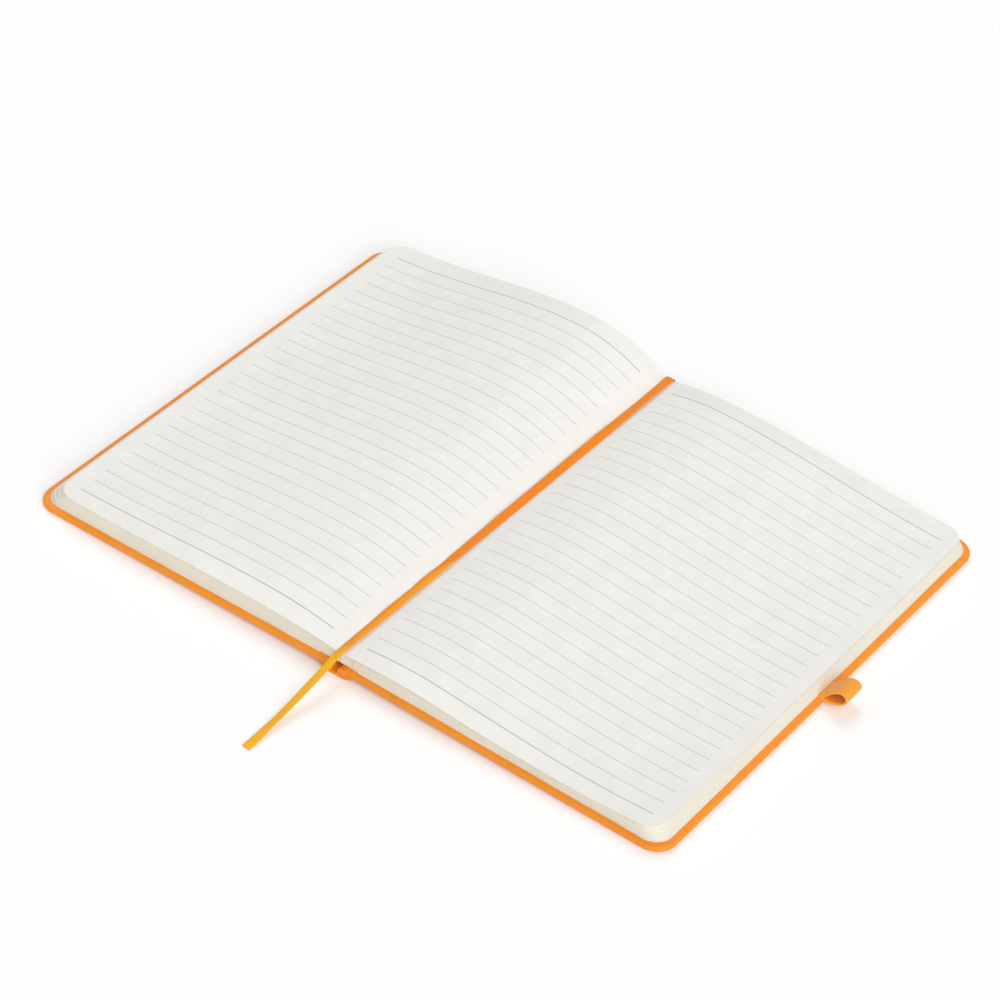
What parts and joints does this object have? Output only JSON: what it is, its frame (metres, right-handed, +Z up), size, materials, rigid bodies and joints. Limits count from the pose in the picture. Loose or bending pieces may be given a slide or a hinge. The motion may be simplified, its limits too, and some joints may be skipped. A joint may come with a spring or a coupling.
{
  "type": "open hardcover notebook",
  "caption": "Hardcover notebook lying open at its middle, with hinged covers, ruled leaves, a ribbon bookmark and a pen loop at the fore-edge.",
  "frame": {"origin": "middle of the spine's underside, on the table", "axes": "+X across the spread to the right page, +Y along the spine to the head, +Z up from the table"},
  "size_m": [0.2841, 0.259, 0.0213],
  "materials": {
    "cover": "satin imitation leather over board, fine grain",
    "endpaper": "matt uncoated paper",
    "leaves": "matt uncoated writing paper with pale grey ruling",
    "ribbon": "woven satin ribbon",
    "loop": "woven elastic band"
  },
  "bodies": {
    "spine": {"spine": "cover", "ribbon_bookmark": "ribbon"},
    "front_cover": {"front_cover": "cover", "front_endpaper": "endpaper", "left_pages": "leaves"},
    "back_cover": {"back_cover": "cover", "back_endpaper": "endpaper", "right_pages": "leaves", "pen_loop": "loop"}
  },
  "joints": [
    {"name": "front_hinge", "type": "hinge", "parent": "spine", "child": "front_cover", "pos_m": [-0.00685, 0, 0.0035], "axis": [0, 1, 0], "range_deg": [0, 90.9], "deforming": ["left_pages"]},
    {"name": "back_hinge", "type": "hinge", "parent": "spine", "child": "back_cover", "pos_m": [0.00685, 0, 0.0035], "axis": [0, -1, 0], "range_deg": [0, 90.9], "deforming": ["right_pages"]}
  ]
}
